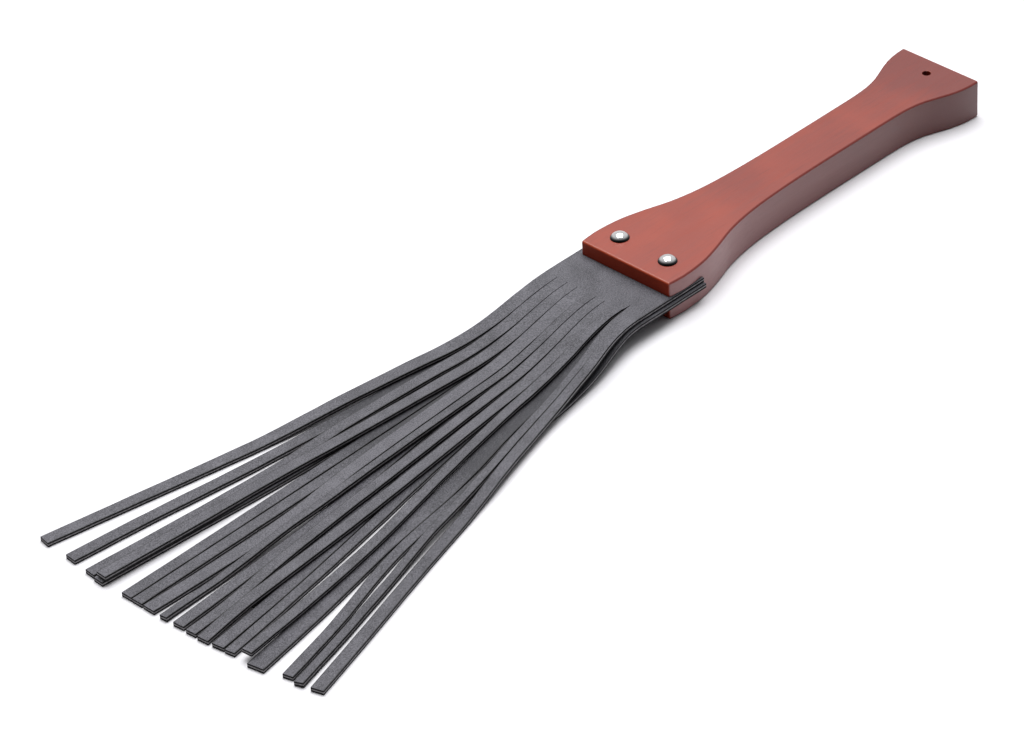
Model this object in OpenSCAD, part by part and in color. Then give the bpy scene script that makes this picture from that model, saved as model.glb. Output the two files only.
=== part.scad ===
// Swatter with a flat wooden paddle handle and two layers of leather slit into long tails.
// The origin is the axis of the hanging hole on the face that the handle lies on.
// +X runs along the handle towards the tails, +Z is up.

/* [Handle] */
// Length of the wooden handle
handle_l = 214.3; // [180:0.1:260]
// Thickness of the board
handle_t = 19; // [16:0.5:22]
// Width across the widest part of the jaw
jaw_w = 53.8; // [50:0.2:60]
// Width of the narrow grip
grip_w = 25.9; // [22:0.1:32]
// Width of the flared end
pommel_w = 45.2; // [36:0.2:50]
// Radius on the four upright corners
corner_r = 1; // [0.5:0.5:3]

/* [Kerf and hanging hole] */
// Height of the saw kerf that holds the leather
kerf_h = 4.8; // [4.6:0.1:6]
// Depth of the kerf from the front of the jaw
kerf_d = 21.5; // [19:0.5:26]
// Diameter of the hanging hole
hang_d = 4; // [3:0.5:6]
// Distance from the flared end to the hanging hole
hang_inset = 10.3; // [8:0.1:14]

/* [Leather] */
// Thickness of one layer
leather_t = 2.2; // [1.8:0.1:2.2]
// Length of leather that stays uncut in front of the jaw
neck_l = 20; // [16:1:24]
// Width of the slit between two tails where they start
slit_w = 0.3; // [0.3:0.05:0.5]

/* [Binding posts] */
// Distance between the two posts
post_pitch = 28.5; // [26:0.5:30]
// Distance from the front of the jaw to the posts
post_inset = 12.8; // [10:0.1:14]
// How far the pair of posts sits off the middle line
post_shift = -0.6; // [-2:0.1:2]
// Diameter of the domed caps
cap_d = 8.8; // [7:0.1:10]
// Height of the domed caps
cap_h = 2.8; // [1.5:0.1:3.2]
// Diameter of the post barrels
barrel_d = 5; // [4:0.1:5.4]

/* [Hidden] */
$fn = 64;
eps = 0.01;

// Front of the jaw, and the height of the kerf's middle
face_x = handle_l - hang_inset;
mid_z = handle_t / 2;
// Half of the grip's width, and how much wider than that the two ends are on each side
grip_r = grip_w / 2;
jaw_add = (jaw_w - grip_w) / 2;
pommel_add = (pommel_w - grip_w) / 2;

// Half width of the handle: [distance from the jaw's front, half width]
shoulder = [[0, 0.95], [10, 1], [24, 0.905], [36, 0.68], [50, 0.36], [66, 0.15], [85, 0.045], [110, 0]];
flare = [[52, 0], [44, 0.02], [37, 0.08], [29.5, 0.24], [22, 0.53], [14.5, 0.81], [7, 0.965], [0, 1]];
outline_key = concat(
    [for (p = shoulder) [p[0], grip_r + jaw_add * p[1]]],
    [for (p = flare) [handle_l - p[0], grip_r + pommel_add * p[1]]]);

// The leather: vertical gap between the layers, and the hinge line just in front of the jaw
layer_gap = 0.2;
bend_x = face_x + 1.5;
bend_play = 0.1;
mitre = 1.1;
neck_x = face_x + neck_l;
// The tails lie on the surface from here on, and the upper ones this much above the lower ones
touch = 88;
rest_gap = 0.3;

// Slits across each layer, from the far edge to the near edge
upper_cut = [-29.3, -22.1, -16, -10, -3.2, 1.1, 6.4, 11.8, 17.2, 21.9, 27.2];
lower_cut = [-27.3, -21.6, -16.2, -10.9, -5.5, -0.1, 5.1, 10.4, 15.3, 23.5, 28.5];

// How each tail lies. The middle of a tail is given at these distances from the jaw and at its tip.
station = [60, 100, 150, 200, 250];
// [tip width, reach, [middle at each station and at the tip], [where it starts and ends coming
//  down to the surface], tip lift, roll, [arch, roll of the arch]]
NEVER = [900, 990];
upper_lay = [
    [6.0, 288.5, [-25.6, -30.7, -37, -45.2, -54, -60.8], [132, 190], 0, 0, [0, 0]],
    [5.8, 291, [-17.9, -20.4, -22, -24, -26.9, -30], [148, 192], 0, 0, [0, 0]],
    [5.6, 291.3, [-10.9, -12.3, -15, -18.4, -20.4, -22.5], NEVER, 0.3, 0, [0, 0]],
    [6.5, 291.5, [-3.8, -1.6, 1.6, 5, 6.5, 6.1], [170, 215], 0, 0, [0, 0]],
    [4.0, 291.5, [1.8, 4, 7.2, 10.6, 13.1, 14.7], [214, 262], 0, 5, [0, 0]],
    [5.3, 291, [7.3, 10.8, 16.1, 21.3, 27.2, 30.5], [234, 276], 0, 0, [0, 0]],
    [5.9, 291, [13.5, 18, 24, 29.6, 34, 37.5], [266, 290], 0, 0, [0, 0]],
    [5.4, 287.5, [19.2, 24.6, 34.9, 46.4, 55.1, 60.2], NEVER, 0.7, -4, [0.3, 0]],
    [5.0, 285.5, [28.3, 36.9, 51, 63.3, 77.6, 87], [178, 215], 0, 6, [0.8, 10]],
    [6.1, 283.5, [33.5, 42.2, 56.9, 71, 86, 95.8], [125, 175], 0, 0, [1.9, 10]]];
lower_lay = [
    [6.2, 289.5, [-24.9, -26.8, -29.3, -33.7, -39.6, -43.5], NEVER, 0, 0, [0, 0]],
    [5.5, 292.3, [-18.8, -17.4, -16, -17.4, -20.8, -23.5], NEVER, 0, 0, [0, 0]],
    [5.8, 291.5, [-13.2, -11.4, -9.9, -8.8, -7.8, -7.1], NEVER, 0, 0, [0, 0]],
    [5.9, 291.5, [-7.7, -5.6, -3.9, -2.7, -1.7, -0.9], NEVER, 0, 0, [0, 0]],
    [5.8, 291, [-2, 0.6, 7.9, 15.3, 20, 23.2], NEVER, 0, 0, [0, 0]],
    [5.3, 262, [3.7, 6.6, 14.8, 24.6, 33.3, 35.3], NEVER, 0, 0, [0, 0]],
    [6.1, 290, [9.3, 12.6, 20.4, 30.6, 39.6, 45.4], NEVER, 0, 0, [0, 0]],
    [5.0, 289.5, [14.8, 18, 26.4, 36.3, 45.4, 51.7], NEVER, 0, 0, [0, 0]],
    [8.2, 289.5, [21.5, 28.8, 41, 49.3, 59.6, 66.6], NEVER, 0, 0, [0, 0]],
    [5.0, 285, [34, 39, 48, 56.5, 71.6, 80.6], NEVER, 0, 0, [0, 0]]];

// Rings along a tail: close together where it bends down, wider apart where it lies
bend_rings = 9;
lying_rings = 13;

// Posts
post_y = post_pitch / 2;
post_x = face_x - post_inset;
barrel_r = barrel_d / 2;
barrel_hole_r = barrel_r + 0.1;
screw_r = 1.5;
screw_hole_r = 1.55;
head_r = 4;
sink_r = 4.2;
sink_d = 1.8;
head_h = 1.5;
slot_w = 1;
slot_d = 0.6;

// ---- smooth curves through a few chosen points ----

function clamp01(u) = min(1, max(0, u));
function ease(u) = let(c = clamp01(u)) c * c * (3 - 2 * c);
function chord(p, i, j) = (p[j][1] - p[i][1]) / (p[j][0] - p[i][0]);
function slope(p, i, start) =
    i == 0 ? (is_undef(start) ? chord(p, 0, 1) : start)
    : i == len(p) - 1 ? chord(p, i - 1, i)
    : chord(p, i - 1, i + 1);
function span_of(p, x, i = 0) = i < len(p) - 2 && x > p[i + 1][0] ? span_of(p, x, i + 1) : i;
// Value at x of a cubic curve through the points p, with an optional slope at its start
function curve(p, x, start) =
    let(i = span_of(p, x), h = p[i + 1][0] - p[i][0], u = (x - p[i][0]) / h,
        a = slope(p, i, start) * h, b = slope(p, i + 1, start) * h)
    p[i][1] * (1 + 2 * u) * (1 - u) * (1 - u) + a * u * (1 - u) * (1 - u)
    + p[i + 1][1] * u * u * (3 - 2 * u) + b * u * u * (u - 1);

// ---- handle ----

function corner(cx, cy, from, n = 6) = [for (k = [0:n])
    let(a = from + 90 * k / n) [cx + corner_r * cos(a), cy + corner_r * sin(a)]];
side_step = 4;
side = [for (d = [corner_r + side_step:side_step:handle_l - corner_r - side_step])
    [face_x - d, curve(outline_key, d)]];
front_half = curve(outline_key, corner_r);
rear_half = curve(outline_key, handle_l - corner_r);
near_side = concat(
    corner(face_x - corner_r, front_half - corner_r, 0),
    side,
    corner(corner_r - hang_inset, rear_half - corner_r, 90));
handle_outline = concat(near_side, [for (k = [len(near_side) - 1:-1:0]) [near_side[k][0], -near_side[k][1]]]);

module at_posts() {
    for (s = [-1, 1])
        translate([post_x, post_shift + s * post_y, 0]) children();
}

module handle() {
    color([0.55, 0.24, 0.18])
    difference() {
        linear_extrude(handle_t) polygon(handle_outline);
        translate([face_x - kerf_d, -jaw_w, mid_z - kerf_h / 2]) cube([kerf_d + 1, 2 * jaw_w, kerf_h]);
        translate([0, 0, -1]) cylinder(r = hang_d / 2, h = handle_t + 2);
        at_posts() {
            translate([0, 0, -1]) cylinder(r = barrel_hole_r, h = handle_t + 2);
            translate([0, 0, -1]) cylinder(r = sink_r, h = sink_d + 1);
        }
    }
}

// ---- posts and screws ----

// A shallow dome of the given width and height, standing on z = 0
module dome(d, h) {
    r = (d * d / 4 + h * h) / (2 * h);
    intersection() {
        translate([0, 0, h - r]) sphere(r = r, $fn = 96);
        cylinder(r = d / 2, h = h);
    }
}

module post_barrels() {
    color([0.86, 0.87, 0.88])
    at_posts() {
        difference() {
            union() {
                translate([0, 0, sink_d + 0.1]) cylinder(r = barrel_r, h = handle_t - sink_d - 0.1 + eps);
                translate([0, 0, handle_t]) dome(cap_d, cap_h);
            }
            translate([0, 0, 0]) cylinder(r = screw_hole_r, h = handle_t - 4);
        }
    }
}

module post_screws() {
    color([0.8, 0.81, 0.82])
    at_posts() {
        difference() {
            union() {
                translate([0, 0, 0.2]) cylinder(r = head_r, h = head_h);
                translate([0, 0, 0.2]) cylinder(r = screw_r, h = handle_t - 6);
            }
            translate([-head_r, -slot_w / 2, 0]) cube([2 * head_r, slot_w, 0.2 + slot_d]);
        }
    }
}

// ---- leather ----

function layer_z(upper) = upper ? mid_z + layer_gap / 2 : mid_z - layer_gap / 2 - leather_t;
function cuts(upper) = upper ? upper_cut : lower_cut;

// A flat strip across one layer with a given side profile in X and Z
module across(upper, profile) {
    c = cuts(upper);
    translate([0, c[len(c) - 1], 0])
        rotate([90, 0, 0]) linear_extrude(c[len(c) - 1] - c[0]) polygon(profile);
}

// x of a mitred end at a height, leaning away from the hinge line by side (+1 or -1)
function mitre_x(z, side) =
    bend_x + side * (bend_play + mitre * abs(z - mid_z) / (leather_t + layer_gap / 2));

module clamped_end(upper) {
    z0 = layer_z(upper);
    z1 = z0 + leather_t;
    difference() {
        across(upper, [[face_x - kerf_d + 0.3, z0], [mitre_x(z0, -1), z0],
            [mitre_x(z1, -1), z1], [face_x - kerf_d + 0.3, z1]]);
        at_posts() cylinder(r = barrel_hole_r, h = handle_t);
    }
}

module neck(upper) {
    z0 = layer_z(upper);
    z1 = z0 + leather_t;
    across(upper, [[mitre_x(z0, 1), z0], [neck_x, z0], [neck_x, z1], [mitre_x(z1, 1), z1]]);
}

// How far down the leather has come at a distance from the jaw, from 0 to 1
function settle(d) = ease((d - neck_l) / (touch - neck_l));

// Middle height of a tail at a distance from the jaw
function tail_z(lay, upper, d, w) =
    let(start = layer_z(upper), stacked = upper ? leather_t + rest_gap : 0,
        level = start + (stacked - start) * settle(d),
        down = upper ? stacked * ease((d - lay[3][0]) / (lay[3][1] - lay[3][0])) : 0,
        lift = lay[4] * ease((d - 210) / 80), arch = lay[6][0] * arch_at(d))
    level - down + lift + arch + leather_t / 2 + w / 2 * abs(sin(tail_roll(lay, d)));
function arch_at(d) = ease((d - neck_l) / 32) * (1 - ease((d - 66) / 40));
function tail_roll(lay, d) = lay[5] * ease((d - 90) / 80) + lay[6][1] * arch_at(d);

module tail(upper, n) {
    lay = upper ? upper_lay[n] : lower_lay[n];
    c = cuts(upper);
    root_y = (c[n] + c[n + 1]) / 2;
    root_w = c[n + 1] - c[n] - slit_w;
    reach = lay[1];
    path = concat([[neck_l, root_y]], [for (k = [0:4]) if (station[k] < reach) [station[k], lay[2][k]]],
        [[reach, lay[2][5]]]);
    stops = concat(
        [for (k = [0:bend_rings - 1]) neck_l + (touch + 8 - neck_l) * k / bend_rings],
        [for (k = [0:lying_rings]) touch + 8 + (reach - touch - 8) * k / lying_rings]);
    last = len(stops) - 1;
    points = [for (i = [0:last])
        let(d = stops[i], w = root_w + (lay[0] - root_w) * (d - neck_l) / (reach - neck_l),
            y = curve(path, d, 0), turn = atan((curve(path, d, 0) - curve(path, d - 1, 0)) / 1),
            head = i == 0 ? 0 : turn, roll = tail_roll(lay, d), z = tail_z(lay, upper, d, w),
            half = w / 2, square = i == last)
        for (q = [[-1, -1], [1, -1], [1, 1], [-1, 1]])
            [face_x + d - (square ? q[0] * half * sin(head) : 0),
             y + q[0] * half * cos(roll) * (square ? cos(head) : 1 / cos(head))
                - q[1] * leather_t / 2 * sin(roll),
             z + q[0] * half * sin(roll) + q[1] * leather_t / 2 * cos(roll)]];
    skin = [for (i = [0:last - 1], k = [0:3])
        let(a = 4 * i + k, b = 4 * i + (k + 1) % 4)
        each [[a, a + 4, b + 4], [a, b + 4, b]]];
    polyhedron(points, concat([[0, 1, 2], [0, 2, 3]], skin,
        [[4 * last + 2, 4 * last + 1, 4 * last], [4 * last + 3, 4 * last + 2, 4 * last]]));
}

charcoal = [0.33, 0.33, 0.35];
module upper_clamped_end() color(charcoal) clamped_end(true);
module lower_clamped_end() color(charcoal) clamped_end(false);
module upper_neck() color(charcoal) neck(true);
module lower_neck() color(charcoal) neck(false);
module upper_tail(n) color([0.38, 0.38, 0.4]) tail(true, n - 1);
module lower_tail(n) color([0.28, 0.28, 0.3]) tail(false, n - 1);

handle();
post_barrels();
post_screws();
upper_clamped_end();
lower_clamped_end();
upper_neck();
lower_neck();
upper_tail(1);  // upper_tail_1
upper_tail(2);  // upper_tail_2
upper_tail(3);  // upper_tail_3
upper_tail(4);  // upper_tail_4
upper_tail(5);  // upper_tail_5
upper_tail(6);  // upper_tail_6
upper_tail(7);  // upper_tail_7
upper_tail(8);  // upper_tail_8
upper_tail(9);  // upper_tail_9
upper_tail(10);  // upper_tail_10
lower_tail(1);  // lower_tail_1
lower_tail(2);  // lower_tail_2
lower_tail(3);  // lower_tail_3
lower_tail(4);  // lower_tail_4
lower_tail(5);  // lower_tail_5
lower_tail(6);  // lower_tail_6
lower_tail(7);  // lower_tail_7
lower_tail(8);  // lower_tail_8
lower_tail(9);  // lower_tail_9
lower_tail(10);  // lower_tail_10
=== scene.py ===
import math

import bpy
from mathutils import Matrix, Vector, noise


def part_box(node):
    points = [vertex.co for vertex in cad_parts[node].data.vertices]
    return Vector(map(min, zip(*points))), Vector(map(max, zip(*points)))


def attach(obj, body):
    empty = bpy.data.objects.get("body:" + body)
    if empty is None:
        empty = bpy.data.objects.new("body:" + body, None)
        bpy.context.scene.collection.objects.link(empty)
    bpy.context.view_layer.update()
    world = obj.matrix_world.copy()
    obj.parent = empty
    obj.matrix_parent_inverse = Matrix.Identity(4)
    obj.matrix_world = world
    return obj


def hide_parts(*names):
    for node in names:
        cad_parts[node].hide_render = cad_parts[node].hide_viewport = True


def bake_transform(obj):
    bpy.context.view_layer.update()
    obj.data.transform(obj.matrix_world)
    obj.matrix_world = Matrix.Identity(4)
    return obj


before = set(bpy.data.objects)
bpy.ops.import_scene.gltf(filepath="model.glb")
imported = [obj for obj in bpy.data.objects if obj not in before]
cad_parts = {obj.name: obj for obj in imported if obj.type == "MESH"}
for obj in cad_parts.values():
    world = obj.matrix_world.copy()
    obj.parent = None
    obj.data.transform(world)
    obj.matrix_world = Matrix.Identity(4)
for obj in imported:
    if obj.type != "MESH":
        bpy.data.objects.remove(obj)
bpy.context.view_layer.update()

MM = 0.001
LAYERS = ("upper", "lower")
TAILS = [f"{layer}_tail_{n}" for layer in LAYERS for n in range(1, 11)]

# Slits are named by the tail on their far side. Some lie shut at first. One gapes from its start and is cut
# nearer the jaw than the rest: OPEN_START is its distance from the jaw, OPEN_FLARE how fast it widens.
SHUT_SLITS = ("upper_tail_4", "upper_tail_7", "upper_tail_9")
OPEN_SLIT, OPEN_START, OPEN_WIDTH, OPEN_FLARE = "upper_tail_8", 14.5 * MM, 1.2 * MM, 0.1

# How wide the shut slits and the plain ones stay, and how far along the tails their sides are drawn together
SHUT_GAP, PLAIN_GAP, FIRST_GAP = 0.015 * MM, 0.32 * MM, 0.22 * MM
SHUT_LENGTH, DRAWN_LENGTH, DRAWN_FADE = 40 * MM, 95 * MM, 25 * MM
DRAWN_MOST, SPRUNG_MOST = 0.30 * MM, 0.6 * MM

# Straps: the rounding of a root's arrises and of a worn tail's, how far a tail takes to wear, how uneven it is,
# and how far along the lower layer, how softly and how deep its painted shade goes, standing for the upper
# layer's shadow
CRISP_ARRIS, WORN_ARRIS, WORN_AFTER = 0.04 * MM, 0.17 * MM, 70 * MM
UNEVEN, UNEVEN_AFTER = 0.10 * MM, 12 * MM
PAINTED_SHADE_LENGTH, PAINTED_SHADE_FADE, PAINTED_SHADE_TONE = 160 * MM, 50 * MM, 0.75

# Tails dyed a little paler or darker than the rest
TONES = {"upper_tail_1": 0.05, "upper_tail_4": 0.16, "upper_tail_5": -0.1, "upper_tail_9": -0.06,
         "lower_tail_6": -0.08, "lower_tail_9": 0.06}

# Handle: the rounding of its outer rims, the share of it that its holes and kerf get, and the reach of a hole
RIM, EASED_SHARE, HOLE_REACH = 1.5 * MM, 0.22, 6 * MM

# Binding posts: radius of the barrel, and height of the straight edge below the dome of the cap
BARREL_R, CAP_EDGE = 2.5 * MM, 0.25 * MM

# The room: how bright its front and back are, and the power of the softbox overhead
FRONT_GLOW, BACK_GLOW, OVERHEAD = 0.04, 0.80, 80

# Where the leather leaves the jaw, and where its slits start
JAW_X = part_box("handle")[1].x
SLIT_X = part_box("upper_neck")[1].x


# ---- camera, floor and light ----

def aim_camera():
    yaw, pitch, roll = math.radians(-134.458), math.radians(35.03), math.radians(-2.923)
    ahead = Vector((math.cos(pitch) * math.cos(yaw), math.cos(pitch) * math.sin(yaw), -math.sin(pitch)))
    level = ahead.cross(Vector((0, 0, 1))).normalized()
    upright = level.cross(ahead)
    right = math.cos(roll) * level + math.sin(roll) * upright
    up = math.cos(roll) * upright - math.sin(roll) * level
    lens = bpy.data.cameras.new("studio_camera")
    lens.sensor_width = 36
    lens.lens = 181.21
    camera = bpy.data.objects.new("studio_camera", lens)
    bpy.context.scene.collection.objects.link(camera)
    turn = Matrix((right, up, -ahead)).transposed().to_4x4()
    camera.matrix_world = Matrix.Translation((1.5506, 1.2986, 1.2752)) @ turn
    bpy.context.scene.camera = camera


def clear_selection():
    for other in bpy.context.selected_objects:
        other.select_set(False)


def pick(obj):
    clear_selection()
    obj.select_set(True)
    bpy.context.view_layer.objects.active = obj


def new_material(name):
    material = bpy.data.materials.new(name)
    material.use_nodes = True
    nodes, links = material.node_tree.nodes, material.node_tree.links
    return material, nodes, links, nodes["Principled BSDF"]


def lay_floor():
    clear_selection()
    bpy.ops.mesh.primitive_plane_add(size=12, location=(0.25, 0, -0.0001))
    floor = bpy.context.object
    floor.name = "studio_floor"
    material, nodes, links, shader = new_material("white_floor")
    shader.inputs["Base Color"].default_value = (0.70, 0.695, 0.72, 1)
    shader.inputs["Roughness"].default_value = 0.9
    shader.inputs["Specular IOR Level"].default_value = 0.1
    floor.data.materials.append(material)


def softbox(name, place, aim, size, power):
    light = bpy.data.lights.new(name, "AREA")
    light.shape = "RECTANGLE"
    light.size, light.size_y = size
    light.energy = power
    lamp = bpy.data.objects.new(name, light)
    bpy.context.scene.collection.objects.link(lamp)
    lamp.location = place
    lamp.rotation_euler = (Vector(aim) - Vector(place)).to_track_quat("-Z", "Y").to_euler()


def light_room():
    world = bpy.data.worlds.new("studio_room")
    bpy.context.scene.world = world
    world.use_nodes = True
    nodes, links = world.node_tree.nodes, world.node_tree.links
    where = nodes.new("ShaderNodeTexCoord")
    facing = nodes.new("ShaderNodeVectorMath")
    facing.operation = "DOT_PRODUCT"
    links.new(where.outputs["Generated"], facing.inputs[0])
    facing.inputs[1].default_value = (-0.5, -0.5, 0.7)
    glow = spread(nodes, links, facing.outputs["Value"], -0.2, 0.8, FRONT_GLOW, BACK_GLOW)
    links.new(glow, nodes["Background"].inputs["Strength"])
    nodes["Background"].inputs["Color"].default_value = (1.0, 0.995, 1.0, 1)
    softbox("overhead_softbox", (-0.15, -0.4, 2.2), (0.2, 0, 0), (2.0, 2.0), OVERHEAD)
    bpy.context.scene.view_settings.view_transform = "Standard"


# ---- shared finishes ----

def start_group(name, ins, outs):
    group = bpy.data.node_groups.new(name, "ShaderNodeTree")
    for label, kind, value in ins:
        socket = group.interface.new_socket(label, in_out="INPUT", socket_type=kind)
        if value is not None:
            socket.default_value = value
    for label, kind in outs:
        group.interface.new_socket(label, in_out="OUTPUT", socket_type=kind)
    start, end = group.nodes.new("NodeGroupInput"), group.nodes.new("NodeGroupOutput")
    return group, group.nodes, group.links, start, end


def join_math(nodes, links, kind, first, second, clamp=False):
    """A maths node on two values, each a socket or a number."""
    maths = nodes.new("ShaderNodeMath")
    maths.operation = kind
    maths.use_clamp = clamp
    for place, value in enumerate((first, second)):
        if isinstance(value, bpy.types.NodeSocket):
            links.new(value, maths.inputs[place])
        else:
            maths.inputs[place].default_value = value
    return maths.outputs[0]


def blend_colours(nodes, links, share, first, second):
    mix = nodes.new("ShaderNodeMix")
    mix.data_type = "RGBA"
    for place, value in ((0, share), (6, first), (7, second)):
        if isinstance(value, bpy.types.NodeSocket):
            links.new(value, mix.inputs[place])
        else:
            mix.inputs[place].default_value = value
    return mix.outputs[2]


def speckle(nodes, links, vector, scale, detail, roughness=0.5):
    cloud = nodes.new("ShaderNodeTexNoise")
    links.new(vector, cloud.inputs["Vector"])
    cloud.inputs["Scale"].default_value = scale
    cloud.inputs["Detail"].default_value = detail
    cloud.inputs["Roughness"].default_value = roughness
    return cloud.outputs[0]


def spread(nodes, links, value, low, high, to_low=0.0, to_high=1.0):
    fit = nodes.new("ShaderNodeMapRange")
    links.new(value, fit.inputs[0])
    for place, number in enumerate((low, high, to_low, to_high), 1):
        fit.inputs[place].default_value = number
    return fit.outputs[0]


def stored(nodes, name):
    value = nodes.new("ShaderNodeAttribute")
    value.attribute_name = name
    return value.outputs["Fac"]


def pebble_group():
    """Fine pebbled hide: a height for the bump and a slow mottle for the colour."""
    group, nodes, links, start, end = start_group(
        "pebbled_hide",
        [("Pebbles per metre", "NodeSocketFloat", 1500.0)],
        [("Height", "NodeSocketFloat"), ("Mottle", "NodeSocketFloat")])
    where = nodes.new("ShaderNodeTexCoord").outputs["Object"]
    cells = nodes.new("ShaderNodeTexVoronoi")
    cells.feature = "SMOOTH_F1"
    cells.inputs["Smoothness"].default_value = 0.6
    links.new(where, cells.inputs["Vector"])
    links.new(start.outputs[0], cells.inputs["Scale"])
    fine = speckle(nodes, links, where, 4200, 3, 0.6)
    height = join_math(nodes, links, "ADD", cells.outputs["Distance"],
                       join_math(nodes, links, "MULTIPLY", fine, 0.45))
    broad = speckle(nodes, links, where, 95, 4, 0.55)
    small = speckle(nodes, links, where, 1700, 2, 0.7)
    mottle = join_math(nodes, links, "ADD", join_math(nodes, links, "MULTIPLY", broad, 0.25),
                       join_math(nodes, links, "MULTIPLY", small, 0.75))
    links.new(height, end.inputs["Height"])
    links.new(mottle, end.inputs["Mottle"])
    return group


def place_group(nodes, group):
    node = nodes.new("ShaderNodeGroup")
    node.node_tree = group
    return node


def bump(nodes, links, height, strength, distance, shader):
    relief = nodes.new("ShaderNodeBump")
    relief.inputs["Strength"].default_value = strength
    relief.inputs["Distance"].default_value = distance
    links.new(height, relief.inputs["Height"])
    links.new(relief.outputs[0], shader.inputs["Normal"])


def leather_face(pebbles):
    material, nodes, links, shader = new_material("charcoal_hide")
    grain = place_group(nodes, pebbles)
    mottle = spread(nodes, links, grain.outputs["Mottle"], 0.39, 0.61, -0.48, 0.48)
    # the stored tone is each tail's dye tone, less the painted shade on the lower tails
    tone = join_math(nodes, links, "ADD", mottle, stored(nodes, "tone"))
    share = join_math(nodes, links, "ADD", tone, 0.5, clamp=True)
    colour = blend_colours(nodes, links, share, (0.028, 0.0275, 0.034, 1), (0.118, 0.115, 0.134, 1))
    edged = blend_colours(nodes, links, stored(nodes, "arris"), colour, (0.006, 0.006, 0.007, 1))
    links.new(edged, shader.inputs["Base Color"])
    links.new(spread(nodes, links, grain.outputs["Mottle"], 0.3, 0.7, 0.62, 0.5), shader.inputs["Roughness"])
    shader.inputs["Specular IOR Level"].default_value = 0.5
    bump(nodes, links, grain.outputs["Height"], 1.0, 0.0004, shader)
    return material


def leather_cut():
    """The sides of a strap: dark along both arrises, with a paler fibrous band along the middle, which is a
    painted reflection of the white floor. The dark along the lower arris is painted contact shadow, and the dark
    along the upper one is burnished.
    """
    material, nodes, links, shader = new_material("cut_leather_edge")
    where = nodes.new("ShaderNodeTexCoord").outputs["Object"]
    fibre = speckle(nodes, links, where, 900, 4, 0.65)
    depth = stored(nodes, "depth")
    off = join_math(nodes, links, "ABSOLUTE", join_math(nodes, links, "SUBTRACT", depth, 0.5), 0.0)
    # painted reflection: the pale band across the middle of the cut side stands for the white floor it reflects
    floor_reflection_band = spread(nodes, links, off, 0.03, 0.20, 1.0, 0.0)
    ragged = join_math(nodes, links, "MULTIPLY", floor_reflection_band, spread(nodes, links, fibre, 0.3, 0.62, 0.35, 1.0),
                       clamp=True)
    colour = blend_colours(nodes, links, ragged, (0.003, 0.003, 0.004, 1), (0.30, 0.29, 0.30, 1))
    links.new(colour, shader.inputs["Base Color"])
    shader.inputs["Roughness"].default_value = 0.75
    shader.inputs["Specular IOR Level"].default_value = 0.15
    bump(nodes, links, fibre, 0.4, 0.00015, shader)
    return material


def leather_back():
    """The flesh side, which faces down: dull and napped."""
    material, nodes, links, shader = new_material("napped_flesh_side")
    where = nodes.new("ShaderNodeTexCoord").outputs["Object"]
    nap = speckle(nodes, links, where, 1300, 5, 0.7)
    colour = blend_colours(nodes, links, spread(nodes, links, nap, 0.3, 0.7), (0.03, 0.03, 0.033, 1),
                           (0.075, 0.073, 0.076, 1))
    links.new(colour, shader.inputs["Base Color"])
    shader.inputs["Roughness"].default_value = 0.9
    shader.inputs["Specular IOR Level"].default_value = 0.2
    bump(nodes, links, nap, 0.5, 0.0002, shader)
    return material


def wood_group():
    """Straight-grained board: long streaks along X, short pores, and the broad drift of the stain."""
    group, nodes, links, start, end = start_group(
        "straight_grain",
        [("Stretch", "NodeSocketFloat", 0.06)],
        [("Streak", "NodeSocketFloat"), ("Pore", "NodeSocketFloat"), ("Drift", "NodeSocketFloat")])
    where = nodes.new("ShaderNodeTexCoord").outputs["Object"]
    axes = nodes.new("ShaderNodeCombineXYZ")
    links.new(start.outputs[0], axes.inputs[0])
    axes.inputs[1].default_value = 1
    axes.inputs[2].default_value = 1
    stretch = nodes.new("ShaderNodeVectorMath")
    stretch.operation = "MULTIPLY"
    links.new(where, stretch.inputs[0])
    links.new(axes.outputs[0], stretch.inputs[1])
    run = stretch.outputs[0]
    links.new(speckle(nodes, links, run, 260, 5, 0.6), end.inputs["Streak"])
    links.new(spread(nodes, links, speckle(nodes, links, run, 1500, 2, 0.5), 0.56, 0.70), end.inputs["Pore"])
    links.new(speckle(nodes, links, where, 26, 2, 0.5), end.inputs["Drift"])
    return group


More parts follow.
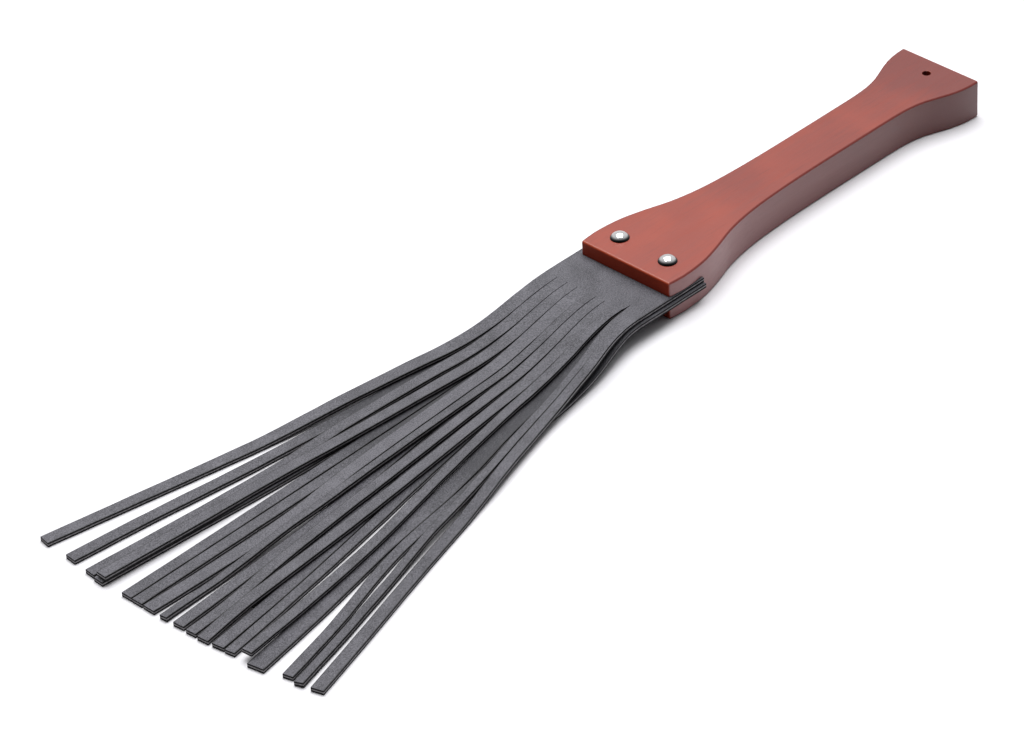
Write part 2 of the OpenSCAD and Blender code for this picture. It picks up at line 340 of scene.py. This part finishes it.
def wood_finish(name, grain, pale, deep, rubbed, gloss, coat, specular):
    """Stained board. The stain is deeper at the flared end and pools along the rims of the long sides. Those
    sides are blended from dark red at the flared end to a pale milky pink toward the jaw, the pale pink being a
    painted reflection of the white floor."""
    material, nodes, links, shader = new_material(name)
    board = place_group(nodes, grain)
    place = nodes.new("ShaderNodeSeparateXYZ")
    links.new(nodes.new("ShaderNodeTexCoord").outputs["Object"], place.inputs[0])
    toward_end = spread(nodes, links, place.outputs[0], 0.05, 0.0, 0.0, 0.8)
    share = join_math(nodes, links, "ADD", spread(nodes, links, board.outputs["Streak"], 0.34, 0.66, 0, 0.22),
                      spread(nodes, links, board.outputs["Drift"], 0.32, 0.70, -0.05, 0.50))
    share = join_math(nodes, links, "ADD", share, toward_end, clamp=True)
    colour = blend_colours(nodes, links, share, pale, deep)
    # painted reflection: the long sides blend toward a pale milky pink that stands for the white floor they
    # reflect, more so toward the jaw
    painted_floor_reflection = blend_colours(nodes, links, spread(nodes, links, place.outputs[0], 0.03, 0.17),
                          (0.075, 0.012, 0.010, 1), (0.21, 0.085, 0.085, 1))
    colour = blend_colours(nodes, links, join_math(nodes, links, "MULTIPLY", stored(nodes, "side"), 0.8),
                           colour, painted_floor_reflection)
    pored = blend_colours(nodes, links, join_math(nodes, links, "MULTIPLY", board.outputs["Pore"], 0.16),
                          colour, (deep[0] * 0.45, deep[1] * 0.4, deep[2] * 0.4, 1))
    pooled = blend_colours(nodes, links, stored(nodes, "pooled"), pored, (0.13, 0.008, 0.003, 1))
    worn = blend_colours(nodes, links, join_math(nodes, links, "MULTIPLY", stored(nodes, "rub"), 0.75),
                         pooled, rubbed)
    links.new(worn, shader.inputs["Base Color"])
    shine = spread(nodes, links, board.outputs["Streak"], 0.3, 0.7, gloss, gloss + 0.12)
    dulled = join_math(nodes, links, "MULTIPLY", stored(nodes, "pooled"), 0.3)
    links.new(join_math(nodes, links, "ADD", shine, dulled), shader.inputs["Roughness"])
    shader.inputs["Specular IOR Level"].default_value = specular
    lacquer = spread(nodes, links, stored(nodes, "pooled"), 0.0, 0.6, coat, 0.0)
    links.new(lacquer, shader.inputs["Coat Weight"])
    shader.inputs["Coat Roughness"].default_value = 0.22
    relief = join_math(nodes, links, "SUBTRACT", board.outputs["Streak"],
                       join_math(nodes, links, "MULTIPLY", board.outputs["Pore"], 0.5))
    bump(nodes, links, relief, 0.12, 0.0002, shader)
    return material


def plated_metal():
    material, nodes, links, shader = new_material("bright_plating")
    where = nodes.new("ShaderNodeTexCoord").outputs["Object"]
    rub = speckle(nodes, links, where, 1800, 3, 0.6)
    colour = blend_colours(nodes, links, spread(nodes, links, rub, 0.35, 0.7), (0.66, 0.66, 0.67, 1),
                           (0.80, 0.80, 0.81, 1))
    # painted dark reflection: the base colour darkens toward the cap's rim, standing for the dark ring the domes
    # reflect near their edge
    shaded = blend_colours(nodes, links, stored(nodes, "rim"), colour, (0.035, 0.033, 0.035, 1))
    links.new(shaded, shader.inputs["Base Color"])
    links.new(spread(nodes, links, rub, 0.3, 0.7, 0.05, 0.11), shader.inputs["Roughness"])
    shader.inputs["Metallic"].default_value = 1.0
    return material


# ---- leather straps ----

def merged_copy(node, name):
    """A loose copy of a node's mesh with its doubles merged."""
    obj = bpy.data.objects.new(name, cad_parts[node].data.copy())
    bpy.context.scene.collection.objects.link(obj)
    obj.data.materials.clear()
    pick(obj)
    if obj.data.has_custom_normals:
        bpy.ops.mesh.customdata_custom_splitnormals_clear()
    bpy.ops.object.mode_set(mode="EDIT")
    bpy.ops.mesh.select_all(action="SELECT")
    bpy.ops.mesh.remove_doubles(threshold=0.000002)
    bpy.ops.object.mode_set(mode="OBJECT")
    return obj


def read_rings(node):
    """The cross-sections of a strap from its root to its tip. Each is its four corners:
    far bottom, near bottom, near top, far top."""
    draft = merged_copy(node, "draft_" + node)
    points = sorted((v.co.copy() for v in draft.data.vertices), key=lambda p: p.x)
    bpy.data.objects.remove(draft)
    rings, step = [[points[0]]], 2.5 * MM
    for a, b in zip(points, points[1:]):
        if b.x - a.x > step:
            rings.append([])
        rings[-1].append(b)
    corners = []
    for ring in rings:
        if len(ring) != 4:
            raise ValueError(f"{node}: a section has {len(ring)} corners")
        by_side = sorted(ring, key=lambda p: p.y)
        far, near = (sorted(pair, key=lambda p: p.z) for pair in (by_side[:2], by_side[2:]))
        corners.append((far[0], near[0], near[1], far[1]))
    return corners


def close_slits(tails):
    """Neighbouring tails of a layer lie side by side for their first stretch, so their sides are drawn together
    there. A few pairs hardly part at first, and one pair springs apart at once."""
    for layer in LAYERS:
        names = [t for t in TAILS if t.startswith(layer)]
        before = {t: list(tails[t]) for t in names}
        for left, right in zip(names, names[1:]):
            for i, (a, b) in enumerate(zip(before[left], before[right])):
                x = (a[1].x + a[2].x) / 2
                reach = max(0.0, min(1.0, (SLIT_X + DRAWN_LENGTH - x) / DRAWN_FADE))
                gap = (b[0].y + b[3].y - a[1].y - a[2].y) / 2
                shut = left in SHUT_SLITS and x < SLIT_X + SHUT_LENGTH
                keep = SHUT_GAP if shut else PLAIN_GAP if i else FIRST_GAP
                move = max(0.0, min(DRAWN_MOST, (gap - keep) / 2)) * reach
                if left == OPEN_SLIT:
                    wanted = OPEN_WIDTH + (x - SLIT_X) * OPEN_FLARE
                    move = min(0.0, max(-SPRUNG_MOST, (gap - wanted) / 2))
                a, b = tails[left][i], tails[right][i]
                shift = Vector((0, move, 0))
                tails[left][i] = (a[0], a[1] + shift, a[2] + shift, a[3])
                tails[right][i] = (b[0] - shift, b[1], b[2], b[3] - shift)
    return tails


def smooth_rings(rings, steps):
    """More sections on smooth curves through the given ones."""
    at = [sum((c.x for c in ring)) / 4 for ring in rings]
    last = len(rings) - 1

    def slope(i, k):
        a, b = max(i - 1, 0), min(i + 1, last)
        return (rings[b][k] - rings[a][k]) / (at[b] - at[a])

    out = []
    for i in range(last):
        run = at[i + 1] - at[i]
        for s in range(steps):
            u = s / steps
            out.append(tuple(
                rings[i][k] * ((1 + 2 * u) * (1 - u) ** 2) + slope(i, k) * (run * u * (1 - u) ** 2)
                + rings[i + 1][k] * (u * u * (3 - 2 * u)) + slope(i + 1, k) * (run * u * u * (u - 1))
                for k in range(4)))
    out.append(rings[last])
    return out


def strap_profile(radius, width, thick, across):
    """A rounded rectangle as shares of width and thickness, with where each point lies:
    (across, depth, arris), going round from the far bottom."""
    ra, rd, turns = radius / width, radius / thick, 3
    points = []
    for corner, (ca, cd, start) in enumerate(((ra, rd, 180), (1 - ra, rd, 270), (1 - ra, 1 - rd, 0),
                                              (ra, 1 - rd, 90))):
        for k in range(turns + 1):
            t = math.radians(start + 90 * k / turns)
            points.append((ca + ra * math.cos(t), cd + rd * math.sin(t), 1.0))
        nxt = ((1 - ra, 0), (1, 1 - rd), (ra, 1), (0, rd))[corner]
        here = points[-1]
        extra = across if corner in (0, 2) else 2
        for k in range(extra + 2):
            u = k / (extra + 1)
            if k in (0, extra + 1):
                u = abs(u - min(0.06, 0.4 / (extra + 1)))
            points.append((here[0] + (nxt[0] - here[0]) * u, here[1] + (nxt[1] - here[1]) * u, 0.0))
    return points


def strap_mesh(name, rings, seed, across=3, tone=0.0, painted_shade_reach=0.0):
    """A closed strap through the given sections, hide above, flesh side below and cut sides. Up to the given
    length along it, it gets painted shade that stands for the shadow of the layer above."""
    width = (rings[0][1] - rings[0][0]).length
    thick = (rings[0][3] - rings[0][0]).length
    profile = strap_profile(WORN_ARRIS, width, thick, across)
    crisp = strap_profile(CRISP_ARRIS, width, thick, across)
    count = len(profile)
    vertices, depth, arris, tones = [], [], [], []
    last = len(rings) - 1
    travelled = 0.0
    for i, (fb, nb, nt, ft) in enumerate(rings):
        middle = (fb + nb + nt + ft) / 4
        if i:
            travelled += (middle - before).length
        before = middle
        side = (nb - fb).normalized()
        up = (ft - fb).normalized()
        soft = min(1.0, travelled / WORN_AFTER)
        ends = min(1.0, travelled / UNEVEN_AFTER)
        # painted shade: the tone is lowered along the first stretch of a lower tail, standing for the shadow the
        # upper layer casts on it
        shaded = PAINTED_SHADE_TONE * max(0.0, min(1.0, (painted_shade_reach - travelled) / PAINTED_SHADE_FADE))
        for (a0, d0, edge), (a1, d1, _) in zip(crisp, profile):
            a, d = a0 + (a1 - a0) * soft, d0 + (d1 - d0) * soft
            p = (fb * (1 - a) + nb * a) * (1 - d) + (ft * (1 - a) + nt * a) * d
            wobble = noise.noise(Vector((travelled * 90, seed * 7.3, 0.0 if a < 0.5 else 40.0)))
            swell = noise.noise(Vector((travelled * 60, seed * 3.1 + 11, a * 1.5)))
            p = p + side * (wobble * UNEVEN * ends) + up * (swell * UNEVEN * ends if d > 0.5 else 0)
            vertices.append(p)
            depth.append(d)
            arris.append(edge * soft)
            tones.append(tone - shaded)
    faces, finish = [], []
    for i in range(last):
        for k in range(count):
            n = (k + 1) % count
            faces.append((i * count + k, i * count + n, (i + 1) * count + n, (i + 1) * count + k))
            d0, d1 = profile[k][1], profile[n][1]
            mid = (d0 + d1) / 2
            sideways = abs(profile[n][0] - profile[k][0]) * width < abs(d1 - d0) * thick
            finish.append(1 if sideways else 0 if mid > 0.5 else 2)
    faces.append(tuple(reversed(range(count))))
    finish.append(1)
    faces.append(tuple(last * count + k for k in range(count)))
    finish.append(1)
    mesh = bpy.data.meshes.new(name)
    mesh.from_pydata([tuple(v) for v in vertices], [], [tuple(reversed(f)) for f in faces])
    for label, values in (("depth", depth), ("arris", arris), ("tone", tones)):
        mesh.attributes.new(label, "FLOAT", "POINT").data.foreach_set("value", values)
    obj = bpy.data.objects.new(name, mesh)
    bpy.context.scene.collection.objects.link(obj)
    for material in (hide, cut_edge, flesh_side):
        mesh.materials.append(material)
    mesh.polygons.foreach_set("material_index", finish)
    pick(obj)
    bpy.ops.object.mode_set(mode="EDIT")
    bpy.ops.mesh.select_all(action="SELECT")
    bpy.ops.mesh.normals_make_consistent(inside=False)
    bpy.ops.object.mode_set(mode="OBJECT")
    bpy.ops.object.shade_smooth_by_angle(angle=math.radians(38))
    return obj


def make_tails():
    pieces = {}
    sections = close_slits({node: read_rings(node) for node in TAILS})
    for number, node in enumerate(TAILS, 1):
        name = node.replace("_tail_", "_leather_tail_")
        painted_shade_reach = PAINTED_SHADE_LENGTH if node.startswith("lower") else 0.0
        piece = strap_mesh(name, smooth_rings(sections[node], 4), number, tone=TONES.get(node, 0.0),
                           painted_shade_reach=painted_shade_reach)
        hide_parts(node)
        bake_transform(piece)
        pieces[node] = piece
    return pieces


def cut_open_slit(root, bottom, top):
    """A narrow wedge out of the uncut leather, where the open slit runs on towards the jaw."""
    y = read_rings(OPEN_SLIT)[0][1].y + 0.15 * MM
    tip, mouth = JAW_X + OPEN_START, SLIT_X + 1 * MM
    corners = [(x, y + dy, z) for z in (bottom - MM, top + MM)
               for x, dy in ((tip, 0), (mouth, -OPEN_WIDTH / 2), (mouth, OPEN_WIDTH / 2))]
    mesh = bpy.data.meshes.new("slit_cutter")
    mesh.from_pydata(corners, [], [(2, 1, 0), (3, 4, 5), (0, 1, 4, 3), (1, 2, 5, 4), (2, 0, 3, 5)])
    mesh.materials.append(cut_edge)
    cutter = bpy.data.objects.new("slit_cutter", mesh)
    bpy.context.scene.collection.objects.link(cutter)
    cut = root.modifiers.new("open_slit", "BOOLEAN")
    cut.object = cutter
    cut.solver = "EXACT"
    pick(root)
    bpy.ops.object.modifier_apply(modifier="open_slit")
    bpy.data.objects.remove(cutter)


def make_roots(tails):
    """The uncut end of each layer, from the bottom of the kerf to where its slits start."""
    for seed, layer in enumerate(LAYERS):
        low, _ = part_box(layer + "_clamped_end")
        _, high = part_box(layer + "_neck")
        stops = [low.x + (high.x - low.x) * k / 26 for k in range(27)]
        rings = [tuple(Vector((x, y, z)) for y, z in ((low.y, low.z), (high.y, low.z), (high.y, high.z),
                                                      (low.y, high.z))) for x in stops]
        piece = strap_mesh(layer + "_leather_root", rings, 40 + seed, across=24)
        if OPEN_SLIT.startswith(layer):
            cut_open_slit(piece, low.z, high.z)
        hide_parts(layer + "_clamped_end", layer + "_neck")
        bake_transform(piece)


# ---- handle ----

def post_centres():
    low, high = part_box("post_barrels")
    radius = (high.x - low.x) / 2
    return [Vector((low.x + radius, y, 0)) for y in (low.y + radius, high.y - radius)]


def make_handle():
    obj = merged_copy("handle", "wooden_handle")
    low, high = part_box("handle")
    bpy.ops.object.mode_set(mode="EDIT")
    bpy.ops.mesh.select_all(action="SELECT")
    bpy.ops.mesh.dissolve_limited(angle_limit=math.radians(0.4))
    bpy.ops.object.mode_set(mode="OBJECT")
    mesh = obj.data
    normals = {}
    for face in mesh.polygons:
        for key in face.edge_keys:
            normals.setdefault(key, []).append(face.normal.copy())
    weight = mesh.attributes.new("bevel_weight_edge", "FLOAT", "EDGE")
    holes = [Vector((0, 0))] + [centre.xy for centre in post_centres()]
    for edge in mesh.edges:
        a, b = (mesh.vertices[i].co for i in edge.vertices)
        pair = normals.get(edge.key, [])
        if len(pair) != 2 or pair[0].dot(pair[1]) > 0.5:
            continue
        middle = (a + b) / 2
        outer = all((middle.xy - hole).length > HOLE_REACH for hole in holes)
        rim = any(abs(middle.z - z) < 0.05 * MM for z in (low.z, high.z)) and abs(a.z - b.z) < 0.01 * MM
        weight.data[edge.index].value = 1.0 if outer and rim else EASED_SHARE
    bevel = obj.modifiers.new("eased_edges", "BEVEL")
    bevel.limit_method = "WEIGHT"
    bevel.width = RIM
    bevel.segments = 4
    bevel.use_clamp_overlap = True
    flat = obj.modifiers.new("flat_faces", "WEIGHTED_NORMAL")
    flat.keep_sharp = True
    pick(obj)
    bpy.ops.object.modifier_apply(modifier="eased_edges")
    bpy.ops.object.shade_smooth_by_angle(angle=math.radians(40))
    bpy.ops.object.modifier_apply(modifier="flat_faces")
    mesh = obj.data
    rub = [min(1.0, max(0.0, 1.6 - abs(abs(v.normal.z) - 0.7) / 0.3)) if abs(v.normal.z) < 0.995 else 0.0
           for v in mesh.vertices]
    ends = [r if abs(v.normal.x) > abs(v.normal.y) else 0.0 for r, v in zip(rub, mesh.vertices)]
    sides = [r - e for r, e in zip(rub, ends)]
    mesh.attributes.new("rub", "FLOAT", "POINT").data.foreach_set("value", ends)
    mesh.attributes.new("pooled", "FLOAT", "POINT").data.foreach_set("value", sides)
    # mask of the long sides, for their painted floor reflection
    side = [max(0.0, 1 - abs(v.normal.z) / 0.6) if abs(v.normal.y) > abs(v.normal.x) else 0.0
            for v in mesh.vertices]
    mesh.attributes.new("side", "FLOAT", "POINT").data.foreach_set("value", side)
    for material in (board, end_grain):
        mesh.materials.append(material)
    for face in mesh.polygons:
        face.material_index = 1 if abs(face.normal.x) > 0.8 else 0
    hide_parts("handle")
    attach(obj, "handle")


# ---- binding posts ----

def turned(name, outline, centre, steps=64):
    """A piece turned about the vertical through centre, from a list of (radius, height)."""
    clear_selection()
    bpy.ops.mesh.primitive_plane_add(size=0.001, location=(0, 0, 0))
    obj = bpy.context.object
    obj.name = obj.data.name = name
    bpy.ops.object.mode_set(mode="EDIT")
    bpy.ops.mesh.select_all(action="SELECT")
    bpy.ops.mesh.merge(type="CENTER")
    first = outline[0]
    bpy.ops.transform.translate(value=(centre.x + first[0], centre.y, first[1]))
    for (r0, z0), (r1, z1) in zip(outline, outline[1:]):
        bpy.ops.mesh.extrude_region_move(TRANSFORM_OT_translate={"value": (r1 - r0, 0, z1 - z0)})
    bpy.ops.mesh.select_all(action="SELECT")
    bpy.ops.mesh.spin(steps=steps, angle=math.radians(360), center=(centre.x, centre.y, 0), axis=(0, 0, 1))
    bpy.ops.mesh.select_all(action="SELECT")
    bpy.ops.mesh.remove_doubles(threshold=0.000005)
    bpy.ops.mesh.normals_make_consistent(inside=False)
    bpy.ops.object.mode_set(mode="OBJECT")
    bpy.ops.object.shade_smooth_by_angle(angle=math.radians(50))
    return obj


def make_posts():
    low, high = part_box("post_barrels")
    board_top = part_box("handle")[1].z
    cap_r = (high.x - low.x) / 2
    rise = high.z - board_top - CAP_EDGE
    ball = (cap_r ** 2 + rise ** 2) / (2 * rise)
    outline = [(0.0, low.z), (BARREL_R - 0.1 * MM, low.z), (BARREL_R, low.z + 0.1 * MM), (BARREL_R, board_top),
               (cap_r - 0.12 * MM, board_top), (cap_r, board_top + 0.1 * MM), (cap_r, board_top + 0.22 * MM)]
    for angle in range(84, -1, -6):
        r = cap_r * math.sin(math.radians(angle))
        outline.append((r, high.z - (ball - math.sqrt(ball ** 2 - r ** 2))))
    for side, centre in zip(("far", "near"), post_centres()):
        piece = turned(side + "_binding_post", outline, centre)
        # mask for the painted dark reflection along the cap's rim
        rim = [max(0.0, min(1.0, ((v.co - centre).xy.length / cap_r - 0.74) / 0.16))
               for v in piece.data.vertices]
        piece.data.attributes.new("rim", "FLOAT", "POINT").data.foreach_set("value", rim)
        piece.data.materials.append(plating)
        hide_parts("post_barrels")
        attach(piece, "handle")


# ---- build ----

aim_camera()
lay_floor()
light_room()

pebbles = pebble_group()
hide, cut_edge, flesh_side = leather_face(pebbles), leather_cut(), leather_back()
grain = wood_group()
board = wood_finish("red_brown_stain", grain, pale=(0.246, 0.029, 0.010, 1), deep=(0.135, 0.013, 0.007, 1),
                    rubbed=(0.30, 0.045, 0.010, 1), gloss=0.34, coat=0.34, specular=0.5)
end_grain = wood_finish("stained_end_grain", grain, pale=(0.21, 0.021, 0.006, 1), deep=(0.155, 0.014, 0.005, 1),
                        rubbed=(0.34, 0.045, 0.012, 1), gloss=0.55, coat=0.0, specular=0.15)
plating = plated_metal()

make_handle()
make_posts()
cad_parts["post_screws"].data.materials.clear()
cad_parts["post_screws"].data.materials.append(plating)
make_roots(make_tails())
